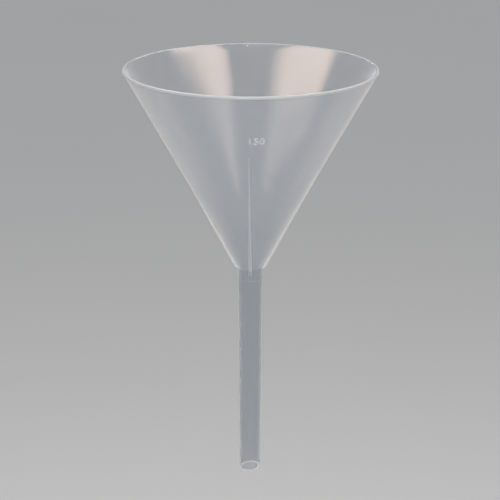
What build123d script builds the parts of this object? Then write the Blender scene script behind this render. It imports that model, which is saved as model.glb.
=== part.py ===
from build123d import *
import os
from math import cos, radians, tan

# A long stem laboratory funnel, moulded in one piece of polypropylene.
# Lengths are in millimetres and angles in degrees. The origin is the centre of the neck, where the
# outside of the cone meets the stem. +Z runs up the axis to the mouth, and -Y is the front.

# Mouth and cone
mouth_diameter = 150.0
cone_angle = 58.0
cone_wall = 1.8

# Bead round the outside of the rim
bead_height = 1.5
bead_step = 0.5
rim_round_share = 0.3
bead_round_share = 0.5

# Stem, measured from the neck to the longest point of the slanted tip
stem_length = 138.0
stem_top_diameter = 14.8
stem_tip_diameter = 12.6
stem_wall = 1.5
neck_round = 1.5
throat_round = 3.0

# Faint step round the stem where two parts of the mould meet
seam_drop = 7.0
seam_step = 0.1

# Slanted tip: the angle of the cut from level, and its turn to the right of the front rib
bevel_angle = 45.0
bevel_turn = 5.0

# Ribs low on the cone, which let air out of the vessel that the funnel sits in. Each one's crest runs
# out into the stem, so its foot is sunk in the stem's wall
rib_count = 4
rib_start_height = 82.0
rib_foot_drop = 4.0
rib_start_proud = 0.2
rib_foot_sink = 0.3
rib_start_width = 0.8
rib_foot_width = 2.4
rib_root_share = 0.5

# Worked out from the sizes above
half_angle = radians(cone_angle / 2)
slope = tan(half_angle)
wall_across = cone_wall / cos(half_angle)
mouth_radius = mouth_diameter / 2
stem_top_radius = stem_top_diameter / 2
stem_tip_radius = stem_tip_diameter / 2
bead_bottom = (mouth_radius - bead_step - stem_top_radius) / slope
rim_top = bead_bottom + bead_height


def cone_radius(height):
    """Outside radius of the cone at a height above the neck."""
    return stem_top_radius + height * slope


def stem_radius(drop):
    """Outside radius of the stem at a drop below the neck, without the seam's step."""
    return stem_top_radius + (stem_tip_radius - stem_top_radius) * drop / stem_length


def nearest(shape, point):
    """The corner of a profile that lies at a point given as radius and height."""
    return shape.vertices().sort_by_distance((point[0], 0, point[1]))[0]


def turned_body():
    """The rim, cone and stem as one revolved wall."""
    rim_inner = (cone_radius(rim_top) - wall_across, rim_top)
    rim_outer = (mouth_radius, rim_top)
    bead_outer = (mouth_radius, bead_bottom)
    bead_root = (mouth_radius - bead_step, bead_bottom)
    neck = (stem_top_radius, 0)
    seam_upper = (stem_radius(seam_drop), -seam_drop)
    seam_lower = (stem_radius(seam_drop) - seam_step, -seam_drop)
    tip_outer = (stem_tip_radius, -stem_length)
    tip_inner = (stem_tip_radius - stem_wall, -stem_length)
    throat = (stem_top_radius - stem_wall, (wall_across - stem_wall) / slope)

    outline = Polyline(
        rim_inner, rim_outer, bead_outer, bead_root, neck, seam_upper, seam_lower, tip_outer,
        tip_inner, throat, close=True,
    )
    profile = Plane.XZ * make_face(outline)
    rim_round = (rim_outer[0] - rim_inner[0]) * rim_round_share
    rounds = (
        (rim_inner, rim_round),
        (rim_outer, rim_round),
        (bead_outer, bead_step * bead_round_share),
        (neck, neck_round),
        (throat, throat_round),
    )
    for corner, radius in rounds:
        profile = fillet(nearest(profile, corner), radius)
    return revolve(profile, axis=Axis.Z)


def rib():
    """One rib in the plane of +X: a thin plate that grows taller and wider towards the neck."""
    root = min(cone_wall, stem_wall) * rib_root_share
    start_radius = cone_radius(rib_start_height)
    foot_radius = stem_radius(rib_foot_drop)
    side = Polyline(
        (start_radius + rib_start_proud, rib_start_height),
        (foot_radius - rib_foot_sink, -rib_foot_drop),
        (foot_radius - root, -rib_foot_drop),
        (stem_top_radius - root, 0),
        (start_radius - root, rib_start_height),
        close=True,
    )
    front = Polyline(
        (-rib_start_width / 2, rib_start_height),
        (rib_start_width / 2, rib_start_height),
        (rib_foot_width / 2, -rib_foot_drop),
        (-rib_foot_width / 2, -rib_foot_drop),
        close=True,
    )
    plate = extrude(Plane.XZ * make_face(side), rib_foot_width, both=True)
    wedge = extrude(Plane.YZ * make_face(front), mouth_radius)
    return plate & wedge


def slanted_tip():
    """The plane that cuts the tip: longest at the back, shortest at the front."""
    longest = Vector(0, stem_tip_radius, -stem_length).rotate(Axis.Z, bevel_turn)
    upward = Vector(0, 0, 1).rotate(Axis.X, -bevel_angle).rotate(Axis.Z, bevel_turn)
    return Plane(origin=longest, z_dir=upward)


funnel = turned_body()
for turn in range(rib_count):
    funnel += Rot(0, 0, turn * 360 / rib_count - 90) * rib()
funnel = split(funnel, bisect_by=slanted_tip(), keep=Keep.TOP)

os.makedirs("parts", exist_ok=True)
export_step(funnel, "parts/funnel.step")
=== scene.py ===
"""A long stem laboratory funnel, moulded in one piece of milky polypropylene.

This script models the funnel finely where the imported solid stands, with its rounded bead, its ribs, its
slanted tip, its raised size number and the mark of the mould's gate, gives it the plastic's finish, and
sets the floor, the lamps and the camera round it. Lengths are in metres, in the solid's own frame: the
origin is at the neck, +Z runs up the axis to the mouth and -Y is the front.
"""

import logging
import math
from collections.abc import Callable
from dataclasses import dataclass, field
from enum import Enum

import bmesh
import bpy
from mathutils import Matrix, Quaternion, Vector


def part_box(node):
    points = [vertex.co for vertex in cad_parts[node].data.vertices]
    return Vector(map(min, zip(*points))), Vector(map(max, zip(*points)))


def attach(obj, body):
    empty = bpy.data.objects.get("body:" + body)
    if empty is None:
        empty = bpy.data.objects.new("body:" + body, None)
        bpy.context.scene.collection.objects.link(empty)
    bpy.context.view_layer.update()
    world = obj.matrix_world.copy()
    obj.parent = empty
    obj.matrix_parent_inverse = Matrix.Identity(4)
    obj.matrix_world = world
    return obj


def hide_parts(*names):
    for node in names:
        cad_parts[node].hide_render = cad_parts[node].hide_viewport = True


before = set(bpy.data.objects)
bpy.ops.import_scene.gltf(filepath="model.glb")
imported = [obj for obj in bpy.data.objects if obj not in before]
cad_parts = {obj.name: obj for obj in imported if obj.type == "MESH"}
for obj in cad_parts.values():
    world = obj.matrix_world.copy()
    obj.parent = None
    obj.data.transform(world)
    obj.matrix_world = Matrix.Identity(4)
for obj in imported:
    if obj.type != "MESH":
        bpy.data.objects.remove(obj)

LOG = logging.getLogger("funnel")
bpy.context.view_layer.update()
MM = 0.001
BODY = "root"
NODE = "funnel"
MILK_AND_PAINTED_LIGHT = "milk_and_painted_light"
WELD = 0.0001 * MM
ORIGIN = (0.0, 0.0, 0.0)
UP = (0.0, 0.0, 1.0)
NOISE_DARK = 0.3
NOISE_LIGHT = 0.7

Colour = tuple[float, float, float]
Place = tuple[float, float, float]


class Grain(Enum):
    """How a pattern in the plastic lies: even all round, or drawn out along the axis."""

    CLOUD = (1.0, 1.0, 1.0)
    FLOW = (1.0, 1.0, 0.12)


class Rounded(Enum):
    """What a rounding acts on: the edges of a shape, or the points of a flat outline."""

    EDGES = "EDGES"
    POINTS = "VERTICES"


class Shading:
    """A node tree, with short ways to add nodes and join them."""

    def __init__(self, tree: bpy.types.NodeTree) -> None:
        """Empty a tree, to fill it anew.

        Args:
            tree: The tree of a material, a lamp or the world.
        """
        self.tree = tree
        self.tree.nodes.clear()

    def node(self, kind: str, values: dict | None = None, **settings: object) -> bpy.types.Node:
        """Add one node.

        Args:
            kind: The node's type, without its ShaderNode prefix.
            values: What its input sockets hold, by name or number.
            settings: What its own properties hold.

        Returns:
            The new node.
        """
        made = self.tree.nodes.new(f"ShaderNode{kind}")
        for name, value in settings.items():
            setattr(made, name, value)
        for socket, value in (values or {}).items():
            if isinstance(value, bpy.types.NodeSocket):
                self.tree.links.new(value, made.inputs[socket])
            else:
                made.inputs[socket].default_value = value
        return made

    def pattern(self, grain: Grain, scale: float, detail: float) -> bpy.types.NodeSocket:
        """Add a noise on the object's own coordinates.

        Args:
            grain: How the noise lies.
            scale: Its features to the metre.
            detail: How many finer layers it has.

        Returns:
            The noise's value, from 0 to 1.
        """
        place = self.node("TexCoord").outputs["Object"]
        turned = self.node("Mapping", {"Vector": place, "Scale": grain.value}).outputs["Vector"]
        noise = self.node("TexNoise", {"Vector": turned, "Scale": scale, "Detail": detail})
        return noise.outputs["Fac"]

    def between(self, value: bpy.types.NodeSocket, low: float, high: float) -> bpy.types.NodeSocket:
        """Spread a noise over a range.

        Args:
            value: The noise.
            low: What its dark patches become.
            high: What its light patches become.

        Returns:
            The value in that range.
        """
        span = {"From Min": NOISE_DARK, "From Max": NOISE_LIGHT, "To Min": low, "To Max": high}
        return self.node("MapRange", {"Value": value, **span}).outputs["Result"]

    def blend(self, share: bpy.types.NodeSocket, first: object, second: object) -> bpy.types.NodeSocket:
        """Mix two colours.

        Args:
            share: How much of the second shows.
            first: The first colour, or the socket that gives it.
            second: The second colour, or the socket that gives it.

        Returns:
            The mixed colour.
        """
        # The node repeats its sockets' names for each type of data, so the colour's go by number.
        mix = self.node("Mix", data_type="RGBA")
        for socket, value in ((mix.inputs[0], share), (mix.inputs[6], first), (mix.inputs[7], second)):
            if isinstance(value, bpy.types.NodeSocket):
                self.tree.links.new(value, socket)
            else:
                socket.default_value = (*value, 1.0)
        return mix.outputs[2]

    def seen(self) -> bpy.types.NodeSocket:
        """Tell what the camera sees, also in a gloss or through the plastic, from what only lights.

        Returns:
            1 for what is seen and 0 for the rest.
        """
        path = self.node("LightPath")
        share = path.outputs["Is Camera Ray"]
        for way in ("Is Glossy Ray", "Is Transmission Ray"):
            share = self.node("Math", {0: share, 1: path.outputs[way]}, operation="MAXIMUM").outputs[0]
        return share


def new_material(name: str) -> bpy.types.Material:
    """Start a material made of nodes.

    Args:
        name: The material's name.

    Returns:
        The material.
    """
    made = bpy.data.materials.new(name)
    made.use_nodes = True
    return made


@dataclass(frozen=True)
class MilkyPlastic:
    """Natural polypropylene, hazy and a little blue, with a soft gloss; whiter where thick and where
    light is painted.
    """

    name: str = "milky_polypropylene"
    clear_tint: Colour = (0.657, 0.69, 0.725)
    cloud_tint: Colour = (0.672, 0.705, 0.737)
    thick_tint: Colour = (0.86, 0.86, 0.845)
    smooth: float = 0.085
    rough: float = 0.115
    refraction: float = 1.49
    shine: float = 1.0
    thin_clear: float = 0.82
    thick_clear: float = 0.20
    gloss: float = 1.0
    gloss_roughness: float = 0.08
    edge_bloom: float = 0.6
    edge_spread: float = 0.35
    milk_share: float = 1.0
    milk_depth: float = 2.5 * MM
    milk_radius: Colour = (1.0, 1.05, 1.15)
    lamp_pass: Colour = (0.80, 0.82, 0.84)
    cloud_scale: float = 42.0
    cloud_detail: float = 3.0
    flow_scale: float = 150.0
    flow_detail: float = 2.0
    grain_scale: float = 1900.0
    grain_detail: float = 1.0
    grain_height: float = 0.05 * MM
    grain_strength: float = 0.02

    def material(self) -> bpy.types.Material:
        """Make the material.

        Returns:
            Milk in the plastic's depth under a gloss, that also lets the lamps' light through.
        """
        made = new_material(self.name)
        shading = Shading(made.node_tree)
        clouds = shading.pattern(Grain.CLOUD, self.cloud_scale, self.cloud_detail)
        flow = shading.pattern(Grain.FLOW, self.flow_scale, self.flow_detail)
        grain = shading.pattern(Grain.CLOUD, self.grain_scale, self.grain_detail)
        # The white share holds thick plastic, and painted light on the rib flanks, the seam and the upper
        # cone.
        milk_and_painted_light = shading.node("Attribute", attribute_name=MILK_AND_PAINTED_LIGHT).outputs["Fac"]
        wall = shading.blend(shading.between(clouds, 0.0, 1.0), self.clear_tint, self.cloud_tint)
        clearness = {"Value": milk_and_painted_light, "To Min": self.thin_clear, "To Max": self.thick_clear}
        bump = shading.node(
            "Bump", {"Height": grain, "Strength": self.grain_strength, "Distance": self.grain_height}
        )
        plastic = shading.node(
            "BsdfPrincipled",
            {
                "Base Color": shading.blend(milk_and_painted_light, wall, self.thick_tint),
                "Roughness": shading.between(flow, self.smooth, self.rough),
                "Normal": bump.outputs["Normal"],
                "IOR": self.refraction,
                "Specular IOR Level": self.shine,
                "Transmission Weight": shading.node("MapRange", clearness).outputs["Result"],
                "Coat Weight": self.gloss,
                "Coat Roughness": self.gloss_roughness,
                "Sheen Weight": self.edge_bloom,
                "Sheen Roughness": self.edge_spread,
                "Subsurface Weight": self.milk_share,
                "Subsurface Radius": self.milk_radius,
                "Subsurface Scale": self.milk_depth,
            },
        )
        passing = shading.node("BsdfTransparent", {"Color": (*self.lamp_pass, 1.0)})
        lamp_ray = shading.node("LightPath").outputs["Is Shadow Ray"]
        both = shading.node(
            "MixShader", {0: lamp_ray, 1: plastic.outputs["BSDF"], 2: passing.outputs["BSDF"]}
        )
        shading.node("OutputMaterial", {"Surface": both.outputs["Shader"]})
        return made


@dataclass(frozen=True)
class MattPaint:
    """The floor's matt paint."""

    name: str = "floor_paint"
    tint: Colour = (0.76, 0.76, 0.76)
    tint_dusty: Colour = (0.753, 0.753, 0.753)
    dust_scale: float = 3.0
    dust_detail: float = 2.0
    roughness: float = 0.9
    shine: float = 0.1
    paleness: float = 0.04

    def material(self) -> bpy.types.Material:
        """Make the material.

        Returns:
            A pale matt grey that varies a little.
        """
        made = new_material(self.name)
        shading = Shading(made.node_tree)
        dust = shading.pattern(Grain.CLOUD, self.dust_scale, self.dust_detail)
        paler = shading.node("Math", {0: shading.seen(), 1: self.paleness}, operation="MULTIPLY")
        paint = shading.node(
            "BsdfPrincipled",
            {
                "Base Color": shading.blend(shading.between(dust, 0.0, 1.0), self.tint, self.tint_dusty),
                "Roughness": self.roughness,
                "Specular IOR Level": self.shine,
                "Emission Color": (1.0, 1.0, 1.0, 1.0),
                "Emission Strength": paler.outputs["Value"],
            },
        )
        shading.node("OutputMaterial", {"Surface": paint.outputs["BSDF"]})
        return made


def link(name: str, data: bpy.types.ID) -> bpy.types.Object:
    """Put a mesh, a lamp or a camera into the scene.

    Args:
        name: The object's name.
        data: The mesh, lamp or camera.

    Returns:
        The object, at the origin.
    """
    made = bpy.data.objects.new(name, data)
    bpy.context.scene.collection.objects.link(made)
    return made


def new_object(name: str, shape: bmesh.types.BMesh) -> bpy.types.Object:
    """Put a finished shape into the scene.

    Args:
        name: The object's name.
        shape: The shape, which is freed.

    Returns:
        The object, at the origin.
    """
    mesh = bpy.data.meshes.new(name)
    shape.to_mesh(mesh)
    shape.free()
    return link(name, mesh)


def look_in(
    holder: bpy.types.Object, aim: Place, distance: float, turn: float, elevation: float, roll: float
) -> None:
    """Stand a lamp or the camera off a point, and turn it to face that point.

    Args:
        holder: The lamp or the camera.
        aim: The point.
        distance: How far off it stands.
        turn: How far round from the front, towards +X, in radians.
        elevation: How far above level, in radians.
        roll: How far it is turned about its own line of sight, in radians.
    """
    level = math.cos(elevation)
    out = Vector((math.sin(turn) * level, -math.cos(turn) * level, math.sin(elevation)))
    holder.location = Vector(aim) + out * distance
    holder.rotation_mode = "QUATERNION"
    holder.rotation_quaternion = (-out).to_track_quat("-Z", "Y") @ Quaternion(UP, roll)


def whole(shape: bmesh.types.BMesh) -> list:
    """All the points, edges and faces of a shape."""
    return [*shape.verts, *shape.edges, *shape.faces]


def round_off(
    shape: bmesh.types.BMesh, parts: list, reach: float, steps: int, what: Rounded = Rounded.EDGES
) -> None:
    """Round some edges or points of a shape.

    Args:
        shape: The shape.
        parts: The edges or points.
        reach: How far from them the rounding starts.
        steps: How many facets it has.
        what: Which of the two they are.
    """
    bmesh.ops.bevel(
        shape, geom=parts, offset=reach, offset_type="OFFSET", affect=what.value, segments=steps,
        profile=0.5, material=-1,
    )


def in_step(value: float, low: float, high: float) -> float:
    """How far a value is on the way from low to high, from 0 to 1."""
    return min(max((value - low) / (high - low), 0.0), 1.0)


def pour_milk_and_painted_light(piece: bpy.types.Object, share: Callable[[Vector], float]) -> None:
    """Note on a piece how white the plastic is under each face: the white of thick plastic, and painted
    light.

    Args:
        piece: The piece.
        share: What gives the share of white at a face's centre, from 0 to 1.
    """
    layer = piece.data.attributes.new(MILK_AND_PAINTED_LIGHT, "FLOAT", "FACE")
    layer.data.foreach_set("value", [share(face.center) for face in piece.data.polygons])


@dataclass
class FunnelShape:
    """The sizes of the funnel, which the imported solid's box and these values give."""

    half_angle: float = math.radians(29.0)
    cone_wall: float = 1.8 * MM
    bead_height: float = 1.5 * MM
    bead_step: float = 0.5 * MM
    bead_round: float = 0.25 * MM
    rim_round_share: float = 0.3
    stem_top_radius: float = 7.4 * MM
    stem_tip_radius: float = 6.3 * MM
    stem_wall: float = 1.5 * MM
    neck_round: float = 1.5 * MM
    throat_round: float = 3.0 * MM
    seam_drop: float = 7.0 * MM
    seam_step: float = 0.1 * MM
    bevel_angle: float = math.radians(45.0)
    bevel_turn: float = math.radians(5.0)
    low: Vector = field(default_factory=lambda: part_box(NODE)[0])
    high: Vector = field(default_factory=lambda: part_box(NODE)[1])

    def cone_radius(self, height: float) -> float:
        """The cone's outside radius at a height above the neck."""
        return self.stem_top_radius + height * math.tan(self.half_angle)

    def stem_radius(self, height: float) -> float:
        """The stem's outside radius at a height, which is below zero, without the seam's step."""
        taper = self.stem_tip_radius - self.stem_top_radius
        return self.stem_top_radius + taper * height / self.low.z

    def skin_radius(self, height: float) -> float:
        """The outside radius at a height, without the bead and the seam's step."""
        return self.cone_radius(height) if height > 0 else self.stem_radius(height)

    def wall_across(self) -> float:
        """The cone's wall, measured level."""
        return self.cone_wall / math.cos(self.half_angle)

    def on_cone(self, turn: float, height: float, lift: float) -> Vector:
        """A point on the outside of the cone.

        Args:
            turn: How far round from the front, towards +X, in radians.
            height: Its height.
            lift: How far it stands off the skin.

        Returns:
            The point.
        """
        reach = self.cone_radius(height) + lift * math.cos(self.half_angle)
        rise = height - lift * math.sin(self.half_angle)
        return Vector((reach * math.sin(turn), -reach * math.cos(turn), rise))

    def tip_plane(self) -> tuple[Vector, Vector]:
        """Find the plane that cuts the tip, longest at the back.

        Returns:
            A point on the plane and its upward normal.
        """
        turned = Matrix.Rotation(self.bevel_turn, 3, "Z")
        longest = turned @ Vector((0.0, self.stem_tip_radius, self.low.z))
        upward = turned @ Vector((0.0, math.sin(self.bevel_angle), math.cos(self.bevel_angle)))
        return longest, upward


@dataclass
class Ribs:
    """Thin ribs low on the cone, which grow taller and wider towards the neck."""

    funnel: FunnelShape
    count: int = 4
    start_height: float = 82.0 * MM
    foot_drop: float = 4.0 * MM
    start_proud: float = 0.2 * MM
    foot_sink: float = 0.3 * MM
    start_width: float = 0.8 * MM
    foot_width: float = 2.4 * MM
    root: float = 0.75 * MM
    crest_share: float = 0.4
    crest_round: float = 0.12 * MM
    crest_steps: int = 2

    def width(self, height: float) -> float:
        """A rib's width at a height."""
        share = in_step(height, -self.foot_drop, self.start_height)
        return self.foot_width + (self.start_width - self.foot_width) * share

    def shape(self) -> bmesh.types.BMesh:
        """Model the ribs.

        Returns:
            All of them, reaching a little into the wall.
        """
        start = self.funnel.cone_radius(self.start_height)
        foot = self.funnel.stem_radius(-self.foot_drop)
        outline = (
            (start + self.start_proud, self.start_height, self.crest_share),
            (foot - self.foot_sink, -self.foot_drop, self.crest_share),
            (foot - self.root, -self.foot_drop, 1.0),
            (self.funnel.stem_top_radius - self.root, 0.0, 1.0),
            (start - self.root, self.start_height, 1.0),
        )
        shape = bmesh.new()
        flank = shape.faces.new(
            [
                shape.verts.new((radius, -share * self.width(height) / 2, height))
                for radius, height, share in outline
            ]
        )
        grown = bmesh.ops.extrude_face_region(shape, geom=[flank])["geom"]
        for corner in (part for part in grown if isinstance(part, bmesh.types.BMVert)):
            corner.co.y = -corner.co.y
        crest = [
            edge for edge in shape.edges
            if any(corner.co.x > self.funnel.skin_radius(corner.co.z) for corner in edge.verts)
        ]
        round_off(shape, crest, self.crest_round, self.crest_steps)
        # The faces are split at the neck, because the foot below it is less white.
        bmesh.ops.bisect_plane(shape, geom=whole(shape), dist=WELD, plane_co=ORIGIN, plane_no=UP)
        bmesh.ops.recalc_face_normals(shape, faces=shape.faces)
        rest = math.tau * (self.count - 1) / self.count
        bmesh.ops.spin(
            shape, geom=whole(shape), cent=ORIGIN, axis=UP, angle=rest, steps=self.count - 1,
            use_duplicate=True,
        )
        return shape


@dataclass
class FunnelBody:
    """The rim, cone, ribs and stem, moulded in one piece."""

    funnel: FunnelShape
    ribs: Ribs
    plastic: bpy.types.Material
    turn_steps: int = 216
    round_steps: int = 6
    longest_step: float = 4.0 * MM
    overrun: float = 1.0 * MM
    tip_round: float = 0.15 * MM
    tip_steps: int = 2
    crease: float = math.radians(28.0)
    bead_white: float = 0.65
    bead_depth: float = 0.8
    cone_painted_light: float = 0.08
    cone_fade: float = 60.0 * MM
    crest_white: float = 0.35
    crest_proud: float = 0.3 * MM
    flank_white_and_painted_light: float = 0.85
    flank_proud: float = 0.02 * MM
    foot_fade: float = 0.5
    foot_proud: float = 0.1 * MM
    tip_white: float = 0.65
    seam_line: float = 0.5 * MM
    seam_painted_highlight: float = 0.04

    def profile(self, shape: bmesh.types.BMesh) -> None:
        """Draw half the funnel's section, with its corners rounded.

        Args:
            shape: The empty shape that it is drawn in.
        """
        size = self.funnel
        top, bead_low = size.high.z, size.high.z - size.bead_height
        rim_inner = size.cone_radius(top) - size.wall_across()
        rim_round = (size.high.x - rim_inner) * size.rim_round_share
        seam, tip = -size.seam_drop, size.low.z - self.overrun
        throat = (size.wall_across() - size.stem_wall) / math.tan(size.half_angle)
        corners = (
            (rim_inner, top, rim_round),
            (size.high.x, top, rim_round),
            (size.high.x, bead_low, size.bead_round),
            (size.high.x - size.bead_step, bead_low, 0.0),
            (size.stem_top_radius, 0.0, size.neck_round),
            (size.stem_radius(seam + self.seam_line), seam + self.seam_line, 0.0),
            (size.stem_radius(seam), seam, 0.0),
            (size.stem_radius(seam) - size.seam_step, seam, 0.0),
            (size.stem_radius(tip), tip, 0.0),
            (size.stem_radius(tip) - size.stem_wall, tip, 0.0),
            (size.stem_top_radius - size.stem_wall, throat, size.throat_round),
        )
        drawn = [shape.verts.new((radius, 0.0, height)) for radius, height, _ in corners]
        shape.faces.new(drawn)
        for corner, (_, _, rounding) in zip(drawn, corners):
            if rounding:
                arms = [edge.other_vert(corner).co - corner.co for edge in corner.link_edges]
                reach = rounding / math.tan(arms[0].angle(arms[1]) / 2)
                round_off(shape, [corner], reach, self.round_steps, Rounded.POINTS)
        for edge in list(shape.edges):
            cuts = int(edge.calc_length() / self.longest_step)
            if cuts:
                bmesh.ops.subdivide_edges(shape, edges=[edge], cuts=cuts)
        bmesh.ops.delete(shape, geom=list(shape.faces), context="FACES_ONLY")

    def cut_tip(self, shape: bmesh.types.BMesh) -> None:
        """Cut the stem off on the slant and round the cut's edges.

        Args:
            shape: The funnel.
        """
        point, upward = self.funnel.tip_plane()
        cut = bmesh.ops.bisect_plane(
            shape, geom=whole(shape), dist=WELD, plane_co=point, plane_no=upward, clear_inner=True
        )
        edges = [part for part in cut["geom_cut"] if isinstance(part, bmesh.types.BMEdge)]
        bmesh.ops.bridge_loops(shape, edges=edges)
        round_off(shape, edges, self.tip_round, self.tip_steps)

    def turned(self) -> bmesh.types.BMesh:
        """Spin the profile and cut the tip.

        Returns:
            The funnel without its ribs.
        """
        shape = bmesh.new()
        self.profile(shape)
        bmesh.ops.spin(
            shape, geom=[*shape.verts, *shape.edges], cent=ORIGIN, axis=UP, angle=math.tau,
            steps=self.turn_steps, use_merge=True,
        )
        bmesh.ops.remove_doubles(shape, verts=shape.verts, dist=WELD)
        bmesh.ops.recalc_face_normals(shape, faces=shape.faces)
        self.cut_tip(shape)
        bmesh.ops.recalc_face_normals(shape, faces=shape.faces)
        return shape

    def rib_white_and_painted_light(self, height: float, proud: float) -> float:
        """The share of white on a rib, which fades below the neck; the flanks' extra white is painted
        light.

        Args:
            height: The height of the rib's face.
            proud: How far its centre stands off the skin.

        Returns:
            The share of white.
        """
        # Painted light: the flanks are made whiter than the thicker crest, so that the ribs' sides look
        # lit.
        white = self.flank_white_and_painted_light if proud < self.crest_proud else self.crest_white
        return white if height > 0.0 else white * self.foot_fade

    def whiteness_and_painted_light(self, point: Vector) -> float:
        """How white the plastic is at a point: thick plastic, and painted light on rib flanks, seam and
        upper cone.

        Args:
            point: The point.

        Returns:
            The share of white on the bead, the cut of the tip, the seam, the ribs and the cone's wall.
        """
        size = self.funnel
        proud = math.hypot(point.x, point.y) - size.skin_radius(point.z)
        on_cut, upward = size.tip_plane()
        bead_low = size.high.z - size.bead_height - WELD
        if point.z > bead_low and proud > -size.wall_across() * self.bead_depth:
            return self.bead_white
        if (point - on_cut).dot(upward) < self.tip_round:
            return self.tip_white
        # Painted highlight: a faint whiter band just above the seam's step.
        if 0.0 < point.z + size.seam_drop < self.seam_line and proud > -size.seam_step:
            return self.seam_painted_highlight
        # The centre of a rib's long flank lies close to the skin. At the neck, so does the rounding.
        least = self.flank_proud if point.z > size.neck_round else self.foot_proud
        if proud > least and -self.ribs.foot_drop < point.z < self.ribs.start_height:
            return self.rib_white_and_painted_light(point.z, proud)
        # Painted light: the cone's wall is even, yet it is made a little whiter from the neck upwards, as
        # if more lit.
        return self.cone_painted_light * in_step(point.z, 0.0, self.cone_fade)

    def build(self) -> bpy.types.Object:
        """Join the ribs to the turned funnel and dress it.

        Returns:
            The funnel's body, in the solid's place.
        """
        turned = new_object("turned", self.turned())
        ribs = new_object("ribs", self.ribs.shape())
        joined = turned.modifiers.new("ribs", "BOOLEAN")
        joined.operation = "UNION"
        joined.solver = "EXACT"
        joined.object = ribs
        worked_out = turned.evaluated_get(bpy.context.evaluated_depsgraph_get())
        mesh = bpy.data.meshes.new_from_object(worked_out)
        mesh.name = "funnel_body"
        # Removing a mesh removes the object that shows it too.
        for spare in (turned, ribs):
            bpy.data.meshes.remove(spare.data)
        piece = link("funnel_body", mesh)
        mesh.materials.clear()
        mesh.materials.append(self.plastic)
        mesh.shade_smooth()
        mesh.set_sharp_from_angle(angle=self.crease)
        pour_milk_and_painted_light(piece, self.whiteness_and_painted_light)
        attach(piece, BODY)
        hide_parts(NODE)
        return piece


@dataclass
class SizeNumber:
    """The mouth's size in millimetres, raised on the front of the cone."""

    funnel: FunnelShape
    plastic: bpy.types.Material
    digits: str = "150"
    digit_height: float = 4.6 * MM
    width_share: float = 1.03
    cap_share: float = 0.7
    centre_height: float = 93.2 * MM
    turn: float = math.radians(3.9)
    raised: float = 0.16 * MM
    sunk: float = 0.05 * MM
    white: float = 0.10

    def build(self) -> bpy.types.Object:
        """Model the digits and wrap them round the cone.

        Returns:
            The digits, as one piece.
        """
        text = bpy.data.curves.new("digits", "FONT")
        text.body = self.digits
        text.align_x = "CENTER"
        text.align_y = "CENTER"
        text.extrude = (self.raised + self.sunk) / 2
        text.size = self.digit_height / self.cap_share
        holder = bpy.data.objects.new("digits", text)
        flat = bpy.data.meshes.new_from_object(holder)
        bpy.data.objects.remove(holder)
        shape = bmesh.new()
        shape.from_mesh(flat)
        bpy.data.meshes.remove(flat)
        bmesh.ops.remove_doubles(shape, verts=shape.verts, dist=WELD)
        middle = self.funnel.cone_radius(self.centre_height)
        for corner in shape.verts:
            across, along, lift = corner.co
            height = self.centre_height + along * math.cos(self.funnel.half_angle)
            off = lift + (self.raised - self.sunk) / 2
            turn = self.turn + across * self.width_share / middle
            corner.co = self.funnel.on_cone(turn, height, off)
        bmesh.ops.recalc_face_normals(shape, faces=shape.faces)
        piece = new_object("size_number", shape)
        piece.data.materials.append(self.plastic)
        pour_milk_and_painted_light(piece, lambda point: self.white)
        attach(piece, BODY)
        return piece


@dataclass
class GateMark:
    """The small nub that the mould's gate leaves on the inside of the rim, at the back."""

    funnel: FunnelShape
    plastic: bpy.types.Material
    turn: float = math.radians(182.9)
    below_rim: float = 2.1 * MM
    radius: float = 0.65 * MM
    crown_radius: float = 0.5 * MM
    height: float = 0.8 * MM
    sunk: float = 0.2 * MM
    rounding: float = 0.2 * MM
    round_steps: int = 3
    turn_steps: int = 24
    white: float = 1.0

    def build(self) -> bpy.types.Object:
        """Model the nub and set it on the wall.

        Returns:
            The nub.
        """
        shape = bmesh.new()
        bmesh.ops.create_cone(
            shape, cap_ends=True, segments=self.turn_steps, radius1=self.radius,
            radius2=self.crown_radius, depth=self.height,
        )
        crown = [edge for edge in shape.edges if all(corner.co.z > 0 for corner in edge.verts)]
        round_off(shape, crown, self.rounding, self.round_steps)
        bmesh.ops.translate(shape, verts=shape.verts, vec=(0.0, 0.0, self.height / 2 - self.sunk))
        size = self.funnel
        inward = size.on_cone(self.turn, size.high.z, 0.0) - size.on_cone(self.turn, size.high.z, 1.0)
        foot = size.on_cone(self.turn, size.high.z - self.below_rim, -size.cone_wall)
        facing = inward.to_track_quat("Z", "Y").to_matrix()
        bmesh.ops.rotate(shape, verts=shape.verts, cent=ORIGIN, matrix=facing)
        bmesh.ops.translate(shape, verts=shape.verts, vec=foot)
        bmesh.ops.recalc_face_normals(shape, faces=shape.faces)
        piece = new_object("gate_mark", shape)
        piece.data.materials.append(self.plastic)
        piece.data.shade_smooth()
        pour_milk_and_painted_light(piece, lambda point: self.white)
        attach(piece, BODY)
        return piece


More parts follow.
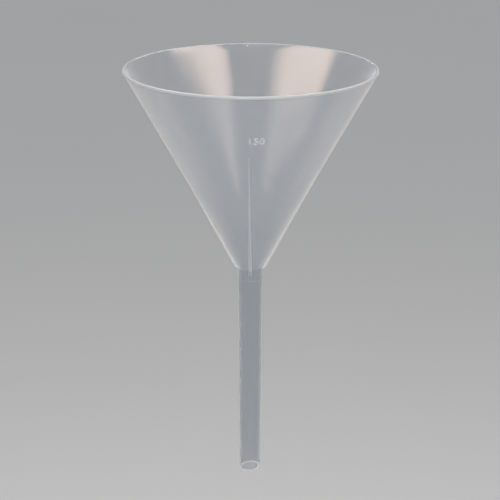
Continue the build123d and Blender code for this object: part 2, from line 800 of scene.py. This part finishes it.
@dataclass(frozen=True)
class Softbox:
    """A lamp behind a soft front, turned towards the funnel. Its angles are in degrees."""

    name: str
    turn: float
    elevation: float
    width: float
    height: float
    brightness: float
    tint: Colour
    roll: float = 0.0
    start_fade: float = 0.1
    end_fade: float = 0.1
    low_fade: float = 0.1
    distance: float = 1.15
    aim: Place = (0.0, 0.0, 0.07)

    def fade(self, shading: Shading) -> bpy.types.NodeSocket:
        """Fade the front out towards its two ends and its lower edge.

        Args:
            shading: The lamp's node tree.

        Returns:
            The share of the light at each place on the front.
        """
        place = shading.node("NewGeometry").outputs["Parametric"]
        split = shading.node("SeparateXYZ", {"Vector": place})
        edges = (
            ("X", 0.0, self.start_fade),
            ("X", 1.0, 1.0 - self.end_fade),
            ("Y", 0.0, self.low_fade),
        )
        share = 1.0
        for way, dark, full in edges:
            span = {"Value": split.outputs[way], "From Min": dark, "From Max": full}
            soft = shading.node("MapRange", span, interpolation_type="SMOOTHSTEP").outputs["Result"]
            share = shading.node("Math", {0: share, 1: soft}, operation="MULTIPLY").outputs["Value"]
        return share

    def build(self) -> bpy.types.Object:
        """Place the lamp.

        Returns:
            The lamp.
        """
        lamp = bpy.data.lights.new(self.name, "AREA")
        lamp.shape = "RECTANGLE"
        lamp.size = self.width
        lamp.size_y = self.height
        lamp.energy = self.brightness * math.pi * self.width * self.height
        lamp.color = self.tint
        lamp.use_nodes = True
        shading = Shading(lamp.node_tree)
        glow = shading.node("Emission", {"Strength": self.fade(shading)})
        shading.node("OutputLight", {"Surface": glow.outputs["Emission"]})
        made = link(self.name, lamp)
        angles = [math.radians(angle) for angle in (self.turn, self.elevation, self.roll)]
        look_in(made, self.aim, self.distance, *angles)
        made.visible_camera = False
        made.visible_transmission = False
        return made


@dataclass
class Studio:
    """The floor, the lamps and the light that comes from all round."""

    floor_drop: float = 0.45
    floor_radius: float = 9.0
    floor_steps: int = 96
    sky: Colour = (0.96, 0.985, 1.01)
    sky_strength: float = 0.42
    far_floor: Colour = (0.345, 0.35, 0.352)
    warm: Colour = (1.0, 0.76, 0.62)
    cool: Colour = (0.84, 0.93, 1.0)
    daylight: Colour = (0.95, 0.98, 1.0)

    def lamps(self) -> list[Softbox]:
        """List the lamps.

        Returns:
            The two softboxes that draw the bands inside the cone, one behind, and a wide fill in front.
        """
        return [
            Softbox(
                "right_softbox", turn=64.3, elevation=45.1, width=1.30, height=0.40, brightness=3.9,
                tint=self.warm, roll=1.6, start_fade=0.25, end_fade=0.20, low_fade=0.56,
            ),
            Softbox(
                "left_softbox", turn=-64.6, elevation=40.6, width=1.50, height=0.40, brightness=3.9,
                tint=self.warm, roll=10.7, start_fade=0.25, end_fade=0.35, low_fade=0.58,
            ),
            Softbox(
                "back_softbox", turn=172.0, elevation=55.0, width=0.90, height=0.90, brightness=1.8,
                tint=self.cool, distance=0.8,
            ),
            Softbox(
                "front_fill", turn=0.0, elevation=8.0, width=1.60, height=0.60, brightness=1.8,
                tint=self.daylight,
            ),
        ]

    def floor(self) -> bpy.types.Object:
        """Lay the floor.

        Returns:
            A wide disc below the funnel's tip.
        """
        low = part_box(NODE)[0]
        shape = bmesh.new()
        bmesh.ops.create_circle(
            shape, cap_ends=True, radius=self.floor_radius, segments=self.floor_steps
        )
        bmesh.ops.translate(shape, verts=shape.verts, vec=(0.0, 0.0, low.z - self.floor_drop))
        bmesh.ops.recalc_face_normals(shape, faces=shape.faces)
        floor = new_object("floor", shape)
        floor.data.materials.append(MattPaint().material())
        return floor

    def world(self) -> bpy.types.World:
        """Set the light that comes from all round.

        Returns:
            The world.
        """
        world = bpy.data.worlds.new("studio")
        world.use_nodes = True
        shading = Shading(world.node_tree)
        light = shading.node("Background", {"Color": (*self.sky, 1.0), "Strength": self.sky_strength})
        far = shading.node("Background", {"Color": (*self.far_floor, 1.0)})
        shown = shading.node("MixShader", {0: shading.seen(), 1: light.outputs[0], 2: far.outputs[0]})
        shading.node("OutputWorld", {"Surface": shown.outputs[0]})
        bpy.context.scene.world = world
        return world

    def build(self) -> list[bpy.types.ID]:
        """Set the studio up.

        Returns:
            What stands in it.
        """
        return [self.world(), self.floor(), *(lamp.build() for lamp in self.lamps())]


@dataclass(frozen=True)
class PhotoCamera:
    """The camera, from where the photograph was taken."""

    aim: Place = (-0.24 * MM, 0.0, 10.84 * MM)
    distance: float = 1.080
    turn: float = math.radians(1.04)
    elevation: float = math.radians(17.86)
    roll: float = math.radians(0.107)
    focal_pixels: float = 1788.0
    frame_pixels: float = 500.0
    sensor: float = 36.0

    def build(self) -> bpy.types.Object:
        """Place the camera and make it the scene's.

        Returns:
            The camera.
        """
        camera = bpy.data.cameras.new("camera")
        camera.sensor_width = self.sensor
        camera.lens = self.sensor * self.focal_pixels / self.frame_pixels
        made = link("camera", camera)
        look_in(made, self.aim, self.distance, self.turn, self.elevation, self.roll)
        bpy.context.scene.camera = made
        return made


def main() -> None:
    """Dress the funnel, then set the studio and the camera round it."""
    logging.basicConfig(level=logging.INFO, format="%(message)s")
    bpy.context.scene.view_settings.view_transform = "Standard"
    funnel = FunnelShape()
    plastic = MilkyPlastic().material()
    pieces = [
        FunnelBody(funnel, Ribs(funnel), plastic).build(),
        SizeNumber(funnel, plastic).build(),
        GateMark(funnel, plastic).build(),
    ]
    pieces += Studio().build()
    pieces.append(PhotoCamera().build())
    for piece in pieces:
        LOG.info("built %s", piece.name)


if __name__ == "__main__":
    main()
